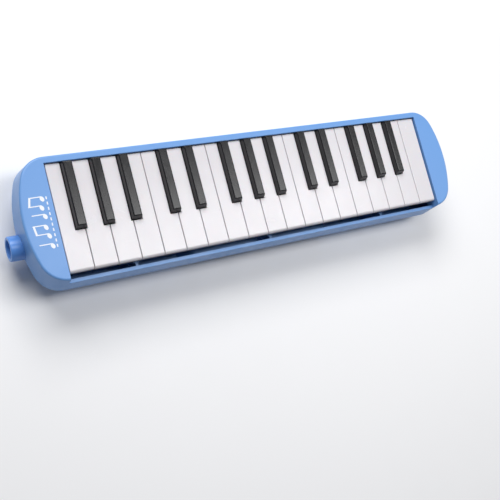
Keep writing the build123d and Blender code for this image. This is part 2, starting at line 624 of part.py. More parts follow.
with BuildPart() as reed_plate_screws:
    for _, low, high in plate_halves.values():
        for x in plate_screw_xs(low, high):
            for y in screw_ys:
                upright(x, y, PLATE_SCREW_RADIUS, plate_bottom, plate_top)
                upright(x, y, PLATE_SCREW_RADIUS + 0.7, plate_bottom - 0.8, plate_bottom)
export(reed_plate_screws.part, "reed_plate_screws")

# ---- Blow socket and its seal ----
SOCKET_MOUTH_X = CASE_LEFT - SOCKET_REACH
FLANGE_X = CASE_LEFT + 7.6
FLANGE_THICKNESS = 1.6
FLANGE_RADIUS = 10.3
SOCKET_LIP_RADIUS = 0.8

with BuildPart() as blow_socket:
    bar((SOCKET_MOUTH_X, FLANGE_X + FLANGE_THICKNESS), SOCKET_RADIUS)
    bar((FLANGE_X, FLANGE_X + FLANGE_THICKNESS), FLANGE_RADIUS)
    bar((FLANGE_X, chamber_inner_x[0]), SPIGOT_RADIUS)
    bar((SOCKET_MOUTH_X, SOCKET_MOUTH_X + SOCKET_BORE_DEPTH), SOCKET_BORE, mode=Mode.SUBTRACT)
    bar((SOCKET_MOUTH_X, chamber_inner_x[0]), SPIGOT_BORE, mode=Mode.SUBTRACT)
    mouth = blow_socket.edges().filter_by(GeomType.CIRCLE).group_by(Axis.X)[0]
    fillet(mouth, SOCKET_LIP_RADIUS)
export(blow_socket.part, "blow_socket")

with BuildPart() as socket_seal:
    bar((CHAMBER_LEFT, CHAMBER_LEFT + SEAL_DEPTH), SEAL_RADIUS)
    bar((CHAMBER_LEFT, CHAMBER_LEFT + SEAL_DEPTH), SPIGOT_RADIUS, mode=Mode.SUBTRACT)
export(socket_seal.part, "socket_seal")

# ---- Spit valve: button and stem, the seal inside the chamber, and the spring ----
STEM_RADIUS = 1.5
BUTTON_FLANGE_X = CASE_RIGHT - 8.0
BUTTON_FLANGE_THICKNESS = 1.4
BUTTON_FLANGE_RADIUS = 7.0
DISC_RADIUS = 3.6
DISC_THICKNESS = 1.0
VALVE_SEAL_THICKNESS = 1.2
VALVE_SPRING_RADIUS, VALVE_SPRING_WIRE = 4.2, 0.6
valve_seat = chamber_inner_x[1]

with BuildPart() as spit_valve_button:
    bar((BUTTON_FLANGE_X, CASE_RIGHT + BUTTON_REACH), BUTTON_RADIUS)
    fillet(spit_valve_button.faces().sort_by(Axis.X)[-1].edges(), 0.9)
    bar((BUTTON_FLANGE_X, BUTTON_FLANGE_X + BUTTON_FLANGE_THICKNESS), BUTTON_FLANGE_RADIUS)
    bar((valve_seat - VALVE_SEAL_THICKNESS - DISC_THICKNESS, BUTTON_FLANGE_X), STEM_RADIUS)
    disc_x = valve_seat - VALVE_SEAL_THICKNESS - DISC_THICKNESS
    bar((disc_x, disc_x + DISC_THICKNESS), DISC_RADIUS)
export(spit_valve_button.part, "spit_valve_button")

with BuildPart() as spit_valve_seal:
    bar((valve_seat - VALVE_SEAL_THICKNESS, valve_seat), SEAL_RADIUS - 0.2)
    bar((valve_seat - VALVE_SEAL_THICKNESS, valve_seat), STEM_RADIUS, mode=Mode.SUBTRACT)
export(spit_valve_seal.part, "spit_valve_seal")

with BuildPart() as spit_valve_spring:
    bar((CHAMBER_RIGHT, BUTTON_FLANGE_X), VALVE_SPRING_RADIUS)
    bar((CHAMBER_RIGHT, BUTTON_FLANGE_X), VALVE_SPRING_RADIUS - VALVE_SPRING_WIRE, mode=Mode.SUBTRACT)
export(spit_valve_spring.part, "spit_valve_spring")

# ---- Hand strap across the recess, its clamp plates and their screws ----
STRAP_HALF_WIDTH = 18.0
STRAP_THICKNESS = 1.6
STRAP_HALF_LENGTH = 104.0
CLAMP_THICKNESS = 1.6
CLAMP_HALF_LENGTH = 7.0
CLAMP_HALF_WIDTH = 20.0
STRAP_HEAD_RADIUS, STRAP_HEAD_HEIGHT = 2.6, 1.2
strap_z = (POCKET_Z - STRAP_THICKNESS, POCKET_Z)
clamp_z = (strap_z[0] - CLAMP_THICKNESS, strap_z[0])
strap_screw_points = [
    (CASE_CENTRE + x, y) for x in (-STRAP_SCREW_X, STRAP_SCREW_X) for y in (-STRAP_SCREW_Y, STRAP_SCREW_Y)
]

with BuildPart() as hand_strap:
    centred_box(
        (CASE_CENTRE - STRAP_HALF_LENGTH, CASE_CENTRE + STRAP_HALF_LENGTH),
        (-STRAP_HALF_WIDTH, STRAP_HALF_WIDTH),
        strap_z,
    )
    for x, y in strap_screw_points:
        upright(x, y, SCREW_HOLE_RADIUS, *strap_z, Mode.SUBTRACT)
export(hand_strap.part, "hand_strap")

for side, name in ((-1, "strap_clamp_left"), (1, "strap_clamp_right")):
    middle = CASE_CENTRE + side * STRAP_SCREW_X
    clamp_x = (middle - CLAMP_HALF_LENGTH, middle + CLAMP_HALF_LENGTH)
    with BuildPart() as strap_clamp:
        centred_box(clamp_x, (-CLAMP_HALF_WIDTH, CLAMP_HALF_WIDTH), clamp_z)
        fillet(strap_clamp.edges().filter_by(Axis.Z), 2.0)
        for y in (-STRAP_SCREW_Y, STRAP_SCREW_Y):
            upright(middle, y, SCREW_HOLE_RADIUS, *clamp_z, Mode.SUBTRACT)
    export(strap_clamp.part, name)

with BuildPart() as strap_screws:
    for x, y in strap_screw_points:
        upright(x, y, STRAP_HEAD_RADIUS, clamp_z[0] - STRAP_HEAD_HEIGHT, clamp_z[0])
        upright(x, y, PILOT_RADIUS, clamp_z[0], STRAP_PILOT_TOP_Z)
export(strap_screws.part, "strap_screws")

# ---- Case and frame screws ----
HEAD_RADIUS, HEAD_HEIGHT = 2.8, 2.0


def case_screw(x, y, tip):
    """One screw from its head's seat in the lower case up to its tip, in the current part."""
    seat = screw_head_z(x)
    upright(x, y, HEAD_RADIUS, seat - HEAD_HEIGHT, seat)
    upright(x, y, PILOT_RADIUS, seat, tip)


with BuildPart() as case_screws:
    for x, y in CASE_BOSS_POINTS:
        case_screw(x, y, FRONT_PILOT_TOP_Z if y == FRONT_SCREW_Y else CASE_PILOT_TOP_Z)
export(case_screws.part, "case_screws")

with BuildPart() as key_frame_screws:
    for x, y in FRAME_BOSS_POINTS:
        case_screw(x, y, FRAME_TOP_Z)
export(key_frame_screws.part, "key_frame_screws")
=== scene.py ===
"""Looks of a 32-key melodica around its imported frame. Metres, in the frame of the CAD model."""

import json
import math
import random

import bmesh
import bpy
from mathutils import Matrix, Quaternion, Vector


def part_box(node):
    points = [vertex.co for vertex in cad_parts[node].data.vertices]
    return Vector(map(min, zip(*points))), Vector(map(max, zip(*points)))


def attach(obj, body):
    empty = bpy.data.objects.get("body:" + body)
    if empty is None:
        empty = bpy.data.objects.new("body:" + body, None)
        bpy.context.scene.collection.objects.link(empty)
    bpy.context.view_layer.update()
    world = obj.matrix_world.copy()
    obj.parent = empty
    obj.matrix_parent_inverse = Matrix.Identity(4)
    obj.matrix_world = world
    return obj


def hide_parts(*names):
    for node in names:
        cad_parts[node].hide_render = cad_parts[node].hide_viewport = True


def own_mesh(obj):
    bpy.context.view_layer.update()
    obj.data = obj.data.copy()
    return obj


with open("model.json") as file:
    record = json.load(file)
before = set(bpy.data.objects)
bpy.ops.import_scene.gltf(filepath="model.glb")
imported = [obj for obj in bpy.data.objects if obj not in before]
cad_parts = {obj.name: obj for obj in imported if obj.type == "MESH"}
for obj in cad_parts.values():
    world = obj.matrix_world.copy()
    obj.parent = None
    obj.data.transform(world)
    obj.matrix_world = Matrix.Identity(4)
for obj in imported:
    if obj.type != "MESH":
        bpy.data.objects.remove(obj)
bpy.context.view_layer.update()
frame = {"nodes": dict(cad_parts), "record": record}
NODES = frame["nodes"]
ROOT = "case"
MM = 0.001
random.seed(11)


# ---- Camera, light and floor ----
CAMERA_PLACE = Vector((-0.33194, -0.10478, 0.57889))
CAMERA_AIM = Vector((-0.02866, -0.05169, 0.0450))
CAMERA_ROLL = math.radians(66.64)
CAMERA_LENS = 53.62
# name, place, aim, size and watts
LIGHTS = (
    ("streak_light", (0.45, 0.04, 1.05), (0.45, 0.03, 0), (1.1, 0.34), 7),
    ("main_light", (-0.25, 0.95, 1.0), (0, 0, 0.03), (1.1, 0.7), 17),
)
WORLD_STRENGTH = 0.18
FLOOR_HALF = 4.0
FLOOR_Z = -0.0002  # a hair below the base, so that the two faces don't mix
FLOOR_CORNERS = ((-1, -1), (1, -1), (1, 1), (-1, 1))


def add_camera():
    """Camera above the blow end, rolled so that the keyboard runs up to the right."""
    data = bpy.data.cameras.new("camera")
    data.lens = CAMERA_LENS
    data.sensor_width = 36.0
    data.clip_start = 0.01
    camera = bpy.data.objects.new("camera", data)
    bpy.context.scene.collection.objects.link(camera)
    look = (CAMERA_AIM - CAMERA_PLACE).to_track_quat("-Z", "Y")
    camera.rotation_mode = "QUATERNION"
    camera.rotation_quaternion = look @ Quaternion((0, 0, 1), CAMERA_ROLL)
    camera.location = CAMERA_PLACE
    bpy.context.scene.camera = camera


def add_softbox(name, place, aim, size, power):
    """A rectangular studio light at place, facing aim."""
    data = bpy.data.lights.new(name, "AREA")
    data.shape = "RECTANGLE"
    data.size, data.size_y = size
    data.energy = power
    light = bpy.data.objects.new(name, data)
    light.location = place
    light.rotation_mode = "QUATERNION"
    light.rotation_quaternion = (Vector(aim) - Vector(place)).to_track_quat("-Z", "Y")
    bpy.context.scene.collection.objects.link(light)


def add_world(strength):
    world = bpy.data.worlds.new("studio")
    world.use_nodes = True
    background = world.node_tree.nodes["Background"]
    background.inputs["Color"].default_value = (0.93, 0.95, 1.0, 1)
    background.inputs["Strength"].default_value = strength
    bpy.context.scene.world = world


# ---- Shader helpers ----
BEVEL_SAMPLES = 6


def linear(red, green, blue):
    """Linear colour of an sRGB one given from 0 to 255."""
    return tuple(
        (c / 255 / 12.92) if c <= 10 else ((c / 255 + 0.055) / 1.055) ** 2.4 for c in (red, green, blue)
    )


def shade(color, factor):
    return tuple(min(1.0, c * factor) for c in color)


def node(tree, kind, inputs=None, **settings):
    """A shader node with its settings, and its inputs either linked or set."""
    made = tree.nodes.new(kind)
    for key, value in settings.items():
        setattr(made, key, value)
    for key, value in (inputs or {}).items():
        if isinstance(value, bpy.types.NodeSocket):
            tree.links.new(value, made.inputs[key])
        else:
            made.inputs[key].default_value = value
    return made


def new_material(name, color, roughness, **sockets):
    """A material whose Principled shader has the given plain values; gives material, tree and shader."""
    material = bpy.data.materials.new(name)
    material.use_nodes = True
    tree = material.node_tree
    shader = tree.nodes["Principled BSDF"]
    shader.inputs["Base Color"].default_value = (*color, 1)
    shader.inputs["Roughness"].default_value = roughness
    for key, value in sockets.items():
        shader.inputs[key.replace("_", " ")].default_value = value
    return material, tree, shader


def object_coords(tree, stretch=(1, 1, 1)):
    """Coordinates fixed to the object, in metres, stretched along its axes."""
    coords = node(tree, "ShaderNodeTexCoord").outputs["Object"]
    if stretch == (1, 1, 1):
        return coords
    return node(tree, "ShaderNodeMapping", {"Vector": coords, "Scale": stretch}).outputs["Vector"]


def noise(tree, scale, detail=3.0, rough=0.5, stretch=(1, 1, 1), distortion=0.0):
    inputs = {
        "Vector": object_coords(tree, stretch),
        "Scale": scale,
        "Detail": detail,
        "Roughness": rough,
        "Distortion": distortion,
    }
    return node(tree, "ShaderNodeTexNoise", inputs).outputs["Fac"]


def remap(tree, value, low, high, to_low, to_high):
    inputs = {"Value": value, "From Min": low, "From Max": high, "To Min": to_low, "To Max": to_high}
    return node(tree, "ShaderNodeMapRange", inputs).outputs["Result"]


def math_node(tree, operation, first, second=0.0, clamp=False):
    made = node(tree, "ShaderNodeMath", {0: first, 1: second}, operation=operation, use_clamp=clamp)
    return made.outputs["Value"]


def mix_color(tree, factor, first, second):
    made = node(tree, "ShaderNodeMix", data_type="RGBA")
    for index, value in ((0, factor), (6, first), (7, second)):
        if isinstance(value, bpy.types.NodeSocket):
            tree.links.new(value, made.inputs[index])
        else:
            made.inputs[index].default_value = value if index == 0 else (*value, 1)
    return made.outputs[2]


def edge_mask(tree, radius):
    """About 1 near a sharp edge and 0 on a flat, from how far a bevelled normal leaves the real one."""
    bevel = node(tree, "ShaderNodeBevel", {"Radius": radius}, samples=BEVEL_SAMPLES)
    real = node(tree, "ShaderNodeNewGeometry").outputs["Normal"]
    dot = node(tree, "ShaderNodeVectorMath", {0: bevel.outputs["Normal"], 1: real}, operation="DOT_PRODUCT")
    return remap(tree, dot.outputs["Value"], 1.0, 0.85, 0.0, 1.0)


def bump(tree, shader, height, distance, strength=1.0, edge_radius=0.0):
    """Bump from a height, on top of softly rounded edges."""
    inputs = {"Height": height, "Distance": distance, "Strength": strength}
    if edge_radius:
        bevel = node(tree, "ShaderNodeBevel", {"Radius": edge_radius}, samples=BEVEL_SAMPLES)
        inputs["Normal"] = bevel.outputs["Normal"]
    tree.links.new(node(tree, "ShaderNodeBump", inputs).outputs["Normal"], shader.inputs["Normal"])


# ---- Materials ----
def moulded_plastic(name, color, roughness, grain, tint=0.05, wear_and_weave_tone=0.25, edge=0.3 * MM, **sockets):
    """Moulded plastic: fine spark texture, faint clouding, smudges, hairline scratches and rubbed edges."""
    material, tree, shader = new_material(name, color, roughness, **sockets)
    clouds = noise(tree, 22, 4, 0.6)
    body = mix_color(tree, clouds, shade(color, 1 - tint), shade(color, 1 + tint))
    rubbed = math_node(tree, "MULTIPLY", edge_mask(tree, edge), noise(tree, 260, 3))
    rubbed = math_node(tree, "MULTIPLY", rubbed, wear_and_weave_tone, clamp=True)
    pale = tuple(0.5 + 0.5 * c for c in color)
    tree.links.new(mix_color(tree, rubbed, body, pale), shader.inputs["Base Color"])
    smudges = remap(tree, noise(tree, 38, 5, 0.65, distortion=0.8), 0.3, 0.75, -0.05, 0.08)
    scratches = noise(tree, 60, 2, 0.5, stretch=(1, 34, 1), distortion=0.3)
    hairlines = remap(tree, scratches, 0.70, 0.74, 0.0, 0.10)
    rough = math_node(tree, "ADD", math_node(tree, "ADD", smudges, hairlines), roughness)
    tree.links.new(rough, shader.inputs["Roughness"])
    waves = math_node(tree, "MULTIPLY", noise(tree, 160, 2), 0.7)
    texture = math_node(tree, "ADD", noise(tree, 1700, 2), waves)
    bump(tree, shader, texture, grain, edge_radius=edge)
    return material


def drawn_metal(name, color, roughness, stretch=(1, 30, 30), **sockets):
    """Metal with fine lines along its drawing or grinding direction and a few dull patches."""
    material, tree, shader = new_material(name, color, roughness, Metallic=1.0, **sockets)
    lines = noise(tree, 900, 3, 0.6, stretch=stretch)
    patches = noise(tree, 120, 4, 0.6)
    mixed = mix_color(tree, patches, shade(color, 0.86), shade(color, 1.06))
    tree.links.new(mixed, shader.inputs["Base Color"])
    rough = math_node(tree, "ADD", remap(tree, lines, 0.3, 0.7, -0.08, 0.10), roughness)
    tree.links.new(rough, shader.inputs["Roughness"])
    bump(tree, shader, lines, 0.01 * MM)
    return material


def soft_rubber(name, color):
    material, tree, shader = new_material(name, color, 0.75)
    dusty = remap(tree, noise(tree, 200, 5, 0.7), 0.45, 0.75, 0.0, 0.35)
    pale = mix_color(tree, dusty, color, tuple(0.12 + 0.6 * c for c in color))
    tree.links.new(pale, shader.inputs["Base Color"])
    tree.links.new(remap(tree, noise(tree, 500, 2), 0.3, 0.7, 0.65, 0.85), shader.inputs["Roughness"])
    bump(tree, shader, noise(tree, 1400, 3), 0.03 * MM)
    return material


def pressed_felt(name, color):
    """Matted wool: blotchy colour, a fuzzy sheen and a fibrous surface."""
    material, tree, shader = new_material(name, color, 0.95, Sheen_Weight=0.6, Sheen_Roughness=0.5)
    blotches = noise(tree, 700, 5, 0.7)
    matted = mix_color(tree, blotches, shade(color, 0.6), shade(color, 1.35))
    tree.links.new(matted, shader.inputs["Base Color"])
    fibres = noise(tree, 2600, 4, 0.7, stretch=(1, 1, 0.4), distortion=2.0)
    bump(tree, shader, fibres, 0.12 * MM)
    return material


def webbing(name, color):
    """Woven strap: rows of ribs across the strap, broken up by the warp; its colour follows the weave, darker
    between the threads and paler on their tops in patches.
    """
    material, tree, shader = new_material(name, color, 0.85, Sheen_Weight=0.25, Sheen_Roughness=0.4)
    coords = object_coords(tree)
    threads = []
    for direction, scale in (("X", 290), ("Y", 230)):
        inputs = {"Vector": coords, "Scale": scale, "Distortion": 0.3}
        threads.append(node(tree, "ShaderNodeTexWave", inputs, bands_direction=direction).outputs["Fac"])
    woven = math_node(tree, "MULTIPLY", *threads)
    # Colour follows the weave's relief: darker between the threads, paler on the raised threads where the
    # noise is high.
    wear_and_weave_tone = math_node(tree, "MULTIPLY", woven, remap(tree, noise(tree, 90, 4), 0.35, 0.7, 0.2, 0.8))
    tree.links.new(mix_color(tree, wear_and_weave_tone, shade(color, 0.5), shade(color, 3.0)), shader.inputs["Base Color"])
    tree.links.new(remap(tree, woven, 0, 1, 0.92, 0.70), shader.inputs["Roughness"])
    bump(tree, shader, woven, 0.25 * MM)
    return material


def printed_ink(name, color):
    """Pad-printed ink: a touch uneven in cover and duller than the plastic below."""
    material, tree, shader = new_material(name, color, 0.5)
    cover = noise(tree, 800, 4, 0.6)
    tree.links.new(mix_color(tree, cover, shade(color, 0.88), color), shader.inputs["Base Color"])
    tree.links.new(remap(tree, noise(tree, 300, 3), 0.3, 0.7, 0.42, 0.6), shader.inputs["Roughness"])
    bump(tree, shader, cover, 0.01 * MM)
    return material


def pale_floor(name):
    material, tree, shader = new_material(name, (0.86, 0.86, 0.87), 0.7)
    clouds = noise(tree, 3, 3)
    tinted = mix_color(tree, clouds, (0.85, 0.85, 0.86), (0.88, 0.88, 0.89))
    tree.links.new(tinted, shader.inputs["Base Color"])
    tree.links.new(remap(tree, noise(tree, 40, 3), 0.3, 0.7, 0.6, 0.8), shader.inputs["Roughness"])
    return material


CASE_BLUE = linear(104, 152, 212)
# Socket blue: the socket plastic's own tone, made somewhat lighter as painted light to make up for the shade
# the socket lies in beside the case end; the button shares it.
SOCKET_BLUE_WITH_PAINTED_LIGHT = linear(92, 146, 220)
MATERIALS = {
    "blue_plastic": moulded_plastic("blue_plastic", CASE_BLUE, 0.36, 0.010 * MM, tint=0.03),
    "socket_plastic": moulded_plastic("socket_plastic", SOCKET_BLUE_WITH_PAINTED_LIGHT, 0.28, 0.006 * MM, tint=0.03),
    "button_plastic": moulded_plastic("button_plastic", SOCKET_BLUE_WITH_PAINTED_LIGHT, 0.30, 0.006 * MM, tint=0.03),
    "white_key_plastic": moulded_plastic(
        "white_key_plastic", linear(212, 209, 213), 0.22, 0.004 * MM, tint=0.012, wear_and_weave_tone=0.1,
        Subsurface_Weight=0.08, Subsurface_Scale=0.002,
    ),
    "black_key_plastic": moulded_plastic(
        "black_key_plastic", linear(24, 24, 27), 0.24, 0.005 * MM, tint=0.10, wear_and_weave_tone=0.12, edge=0.4 * MM
    ),
    "frame_plastic": moulded_plastic("frame_plastic", linear(48, 48, 52), 0.55, 0.012 * MM),
    "chamber_plastic": moulded_plastic("chamber_plastic", linear(214, 212, 206), 0.48, 0.012 * MM),
    "clamp_plastic": moulded_plastic("clamp_plastic", linear(38, 38, 41), 0.5, 0.015 * MM, wear_and_weave_tone=0.5),
    "steel": drawn_metal("steel", (0.60, 0.60, 0.62), 0.28),
    "spring_steel": drawn_metal("spring_steel", (0.52, 0.52, 0.54), 0.30, stretch=(20, 20, 1)),
    "screw_steel": drawn_metal("screw_steel", (0.56, 0.56, 0.58), 0.34, stretch=(1, 1, 1)),
    "plate_metal": drawn_metal("plate_metal", (0.74, 0.74, 0.75), 0.38),
    "reed_brass": drawn_metal("reed_brass", (0.80, 0.58, 0.25), 0.30, stretch=(30, 1, 30)),
    "gasket_rubber": soft_rubber("gasket_rubber", (0.03, 0.03, 0.03)),
    "pad_rubber": soft_rubber("pad_rubber", (0.45, 0.30, 0.18)),
    "felt": pressed_felt("felt", (0.38, 0.03, 0.05)),
    "strap_webbing": webbing("strap_webbing", (0.022, 0.022, 0.026)),
    "thread": webbing("thread", (0.030, 0.030, 0.034)),
    "print_ink": printed_ink("print_ink", (0.86, 0.88, 0.92)),
}


PAD_THICKNESS = 2.4 * MM  # a little less than a key pad's real one, to part its faces from the key's


def is_key(name):
    return name.startswith(("white_key_", "black_key_")) and not name.endswith("felt")


def dress_cad_nodes():
    """Give every CAD node the material of its slot; the pads under the keys get their own."""
    slots = {entry["node"]: entry["material_slot"] for entry in frame["record"]["subparts"]}
    for name, thing in NODES.items():
        thing.data.materials.clear()
        thing.data.materials.append(MATERIALS[slots[name]])
        if is_key(name):
            thing.data.materials.append(MATERIALS["pad_rubber"])
            pad_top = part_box(name)[0].z + PAD_THICKNESS
            for polygon in thing.data.polygons:
                polygon.material_index = int(polygon.center.z < pad_top)


def add_piece(name, bm, material, body=ROOT, smooth=True):
    """A new piece from bm, which it frees, with its material, riding on a body."""
    mesh = bpy.data.meshes.new(name)
    bmesh.ops.recalc_face_normals(bm, faces=bm.faces)
    bm.to_mesh(mesh)
    bm.free()
    if smooth:
        mesh.shade_smooth()
    mesh.materials.append(MATERIALS[material])
    thing = bpy.data.objects.new(name, mesh)
    bpy.context.scene.collection.objects.link(thing)
    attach(thing, body)
    return thing


# ---- Measuring the CAD solids ----
SOLIDS_APART = 5 * MM  # least distance in plan between two springs or two screws


def clusters(name, apart):
    """Vertices of a node's separate solids, told apart by distance in plan, as lists of points."""
    groups = []
    for vertex in NODES[name].data.vertices:
        point = vertex.co
        for group in groups:
            if (group[0].xy - point.xy).length < apart:
                group.append(point)
                break
        else:
            groups.append([point])
    return groups


def corners(points):
    low = Vector([min(p[axis] for p in points) for axis in range(3)])
    high = Vector([max(p[axis] for p in points) for axis in range(3)])
    return low, high


# ---- Print on the left cap ----
PRINT_LAYER = 0.02 * MM
PRINT_LENGTH = 40 * MM
PRINT_FOOT_GAP = 8.2 * MM  # from the lowest key to the foot of the notes
PRINT_MIDDLE_Y = -1.5 * MM
NOTE_HALF_WIDTH, NOTE_HALF_HEIGHT = 2.1 * MM, 1.5 * MM
NOTE_TILT = math.radians(24)
STEM_LENGTH = 9.6 * MM
STEM_WIDTH = 0.75 * MM
BEAM_HEIGHT = 1.5 * MM
NOTE_SIDES = 24
# places along the print and up, in mm
NOTES = ((2.2, 0), (9.8, 0.8), (16.4, 1.8), (24.4, 0.6), (31.0, 1.6), (37.6, 0))
BEAMED = ((1, 2), (4, 5))
DASH_COUNT = 10
DASH_LENGTH, DASH_HEIGHT = 2.2 * MM, 0.9 * MM
DASH_DROP = 3.6 * MM  # row of dashes below the foot of the notes


def slab(bm, outline, low, high):
    """A thin prism over an outline in plan."""
    under = [bm.verts.new((x, y, low)) for x, y in outline]
    over = [bm.verts.new((x, y, high)) for x, y in outline]
    bm.faces.new(over)
    bm.faces.new(list(reversed(under)))
    count = len(outline)
    for i in range(count):
        j = (i + 1) % count
        bm.faces.new((under[i], under[j], over[j], over[i]))


def add_print():
    """Generic print read along the case's depth: a line of notes over a row of dashes."""
    bm = bmesh.new()
    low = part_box("upper_case")[1].z
    foot_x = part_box("white_key_f3")[0].x - PRINT_FOOT_GAP
    start_y = PRINT_MIDDLE_Y - PRINT_LENGTH / 2

    def stamp(points, layer=1):
        """Points are (along, up) on the print; a higher layer lies over the lower ones that it crosses."""
        high = low + layer * PRINT_LAYER
        slab(bm, [(foot_x - up, start_y + along) for along, up in points], low, high)

    def strip(along, up, width, height, layer=1):
        stamp([(along, up), (along + width, up), (along + width, up + height), (along, up + height)], layer)

    tops = []
    for along_mm, up_mm in NOTES:
        along, up = along_mm * MM, up_mm * MM
        ring = []
        for k in range(NOTE_SIDES):
            turn = 2 * math.pi * k / NOTE_SIDES
            wide, tall = NOTE_HALF_WIDTH * math.cos(turn), NOTE_HALF_HEIGHT * math.sin(turn)
            ring.append((
                along + wide * math.cos(NOTE_TILT) - tall * math.sin(NOTE_TILT),
                up + wide * math.sin(NOTE_TILT) + tall * math.cos(NOTE_TILT),
            ))
        stamp(ring)
        stem = along + NOTE_HALF_WIDTH - STEM_WIDTH
        strip(stem, up, STEM_WIDTH, STEM_LENGTH, 2)
        tops.append((stem, up + STEM_LENGTH))
    for first, second in BEAMED:
        (a, top_a), (b, top_b) = tops[first], tops[second]
        b += STEM_WIDTH
        stamp([(a, top_a - BEAM_HEIGHT), (b, top_b - BEAM_HEIGHT), (b, top_b), (a, top_a)], 3)
    for k in range(DASH_COUNT):
        middle = PRINT_LENGTH * (k + 0.5) / DASH_COUNT
        strip(middle - DASH_LENGTH / 2, -DASH_DROP, DASH_LENGTH, DASH_HEIGHT)
    add_piece("cap_print", bm, "print_ink", smooth=False)


# ---- Coil springs ----
COIL_SIDES = 10
COIL_STEPS = 20  # sections in one turn
GROUND_OFF = 0.15  # of the wire's radius, at both ends
KEY_SPRING_WIRE = 0.25 * MM  # radius of the wire
KEY_SPRING_TURNS = 8
TAIL_FRONT_Y = 20 * MM
VALVE_SPRING_WIRE = 0.3 * MM  # radius of the wire
VALVE_SPRING_TURNS = 7


def coil(name, length, radius, wire, turns, place, material):
    """A compression spring with closed, ground ends; place turns (side, side, along) into a point."""
    bm = bmesh.new()
    steps = int(turns * COIL_STEPS)
    open_turns = turns - 2
    pitch = (length - 6 * wire) / open_turns  # less a closed turn and half a wire at each end
    rings = []
    for step in range(steps + 1):
        turn = step / COIL_STEPS
        closed = min(turn, 1) + max(0, turn - (turns - 1))
        along = wire + closed * 2 * wire + (turn - closed) * pitch
        angle = 2 * math.pi * turn
        ring = []
        for side in range(COIL_SIDES):
            phi = 2 * math.pi * side / COIL_SIDES
            out = radius + wire * math.cos(phi)
            height = along + wire * math.sin(phi)
            height = min(max(height, GROUND_OFF * wire), length - GROUND_OFF * wire)
            ring.append(bm.verts.new(place(out * math.cos(angle), out * math.sin(angle), height)))
        rings.append(ring)
    bm.faces.new(rings[0])
    bm.faces.new(list(reversed(rings[-1])))
    for one, two in zip(rings, rings[1:]):
        for i in range(COIL_SIDES):
            j = (i + 1) % COIL_SIDES
            bm.faces.new((one[i], two[i], two[j], one[j]))
    return add_piece(name, bm, material)


def add_key_springs():
    """One coil under each key's tail."""
    keys = [name for name in NODES if is_key(name)]
    for group in clusters("key_springs", SOLIDS_APART):
        low, high = corners(group)
        middle = (low + high) / 2
        key = min(keys, key=lambda name: abs(tail_middle(name) - middle.x))
        reach = (high.x - low.x) / 2 - KEY_SPRING_WIRE
        piece = coil(
            "spring_" + key.replace("_key_", "_"), high.z - low.z, reach, KEY_SPRING_WIRE, KEY_SPRING_TURNS,
            lambda a, b, up: (middle.x + a, middle.y + b, low.z + up), "spring_steel",
        )
        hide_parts("key_springs")
        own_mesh(piece)


def tail_middle(name):
    """X of the middle of a key's tail."""
    tail = [v.co for v in NODES[name].data.vertices if v.co.y > TAIL_FRONT_Y]
    low, high = corners(tail)
    return (low.x + high.x) / 2


def add_valve_spring():
    low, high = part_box("spit_valve_spring")
    middle = (low + high) / 2
    piece = coil(
        "spit_valve_coil", high.x - low.x, (high.y - low.y) / 2 - VALVE_SPRING_WIRE, VALVE_SPRING_WIRE,
        VALVE_SPRING_TURNS, lambda a, b, along: (low.x + along, middle.y + a, middle.z + b), "spring_steel",
    )
    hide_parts("spit_valve_spring")
    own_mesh(piece)


# ---- Screws ----
SCREW_SIDES = 28
THREAD_DEPTH = 0.2  # of the shank's radius
THREAD_PITCH = 0.8  # of the shank's radius
THREAD_ROWS = 6  # in one turn
THREAD_SLOPE = 1.6  # above 1 it leaves a flat in the bottom of each groove
POINT_LENGTH = 1.2  # of the shank's radius
POINT_RADIUS = 0.35  # of the shank's radius, at the tip
RECESS_REACH = 0.58  # of the head's radius
RECESS_WIDTH = 0.20  # of the head's radius
RECESS_DEPTH = 0.62  # of the head's height
CUTTER_REACH = 1.2  # of the head's height, to cut clean through its face
HEAD_PROFILE = ((1, 0), (1, 0.42), (0.94, 0.68), (0.80, 0.88), (0.56, 1.0), (0, 1.0))  # radius, height


def pan_head(radius, height):
    """Mesh of a pan head hanging down from z 0, with a cross recess cut in it."""
    bm = bmesh.new()
    rings = []
    for share, drop in HEAD_PROFILE[:-1]:
        rings.append([
            bm.verts.new((
                radius * share * math.cos(2 * math.pi * k / SCREW_SIDES),
                radius * share * math.sin(2 * math.pi * k / SCREW_SIDES),
                -height * drop,
            ))
            for k in range(SCREW_SIDES)
        ])
    bm.faces.new(rings[0])
    bm.faces.new(rings[-1])
    join_rings(bm, rings)
    bmesh.ops.recalc_face_normals(bm, faces=bm.faces)
    cutter = bmesh.new()
    reach, half = radius * RECESS_REACH, radius * RECESS_WIDTH / 2
    cross = [(reach, -half), (reach, half), (half, half), (half, reach), (-half, reach), (-half, half)]
    cross += [(-x, -y) for x, y in cross]
    slab(cutter, cross, -height * CUTTER_REACH, -height * (1 - RECESS_DEPTH))
    bmesh.ops.recalc_face_normals(cutter, faces=cutter.faces)
    return cut(bm, cutter)


def join_rings(bm, rings):
    for one, two in zip(rings, rings[1:]):
        for i, _ in enumerate(one):
            j = (i + 1) % len(one)
            bm.faces.new((one[i], one[j], two[j], two[i]))


def cut(bm, cutter):
    """Mesh of bm with cutter taken out of it; frees both."""
    things = []
    for name, source in (("cut_body", bm), ("cut_tool", cutter)):
        mesh = bpy.data.meshes.new(name)
        source.to_mesh(mesh)
        source.free()
        thing = bpy.data.objects.new(name, mesh)
        bpy.context.scene.collection.objects.link(thing)
        things.append(thing)
    body, tool = things
    modifier = body.modifiers.new("recess", "BOOLEAN")
    modifier.operation = "DIFFERENCE"
    modifier.object = tool
    modifier.solver = "EXACT"
    graph = bpy.context.evaluated_depsgraph_get()
    result = bpy.data.meshes.new_from_object(body.evaluated_get(graph))
    for thing in things:
        bpy.data.objects.remove(thing)
    return result


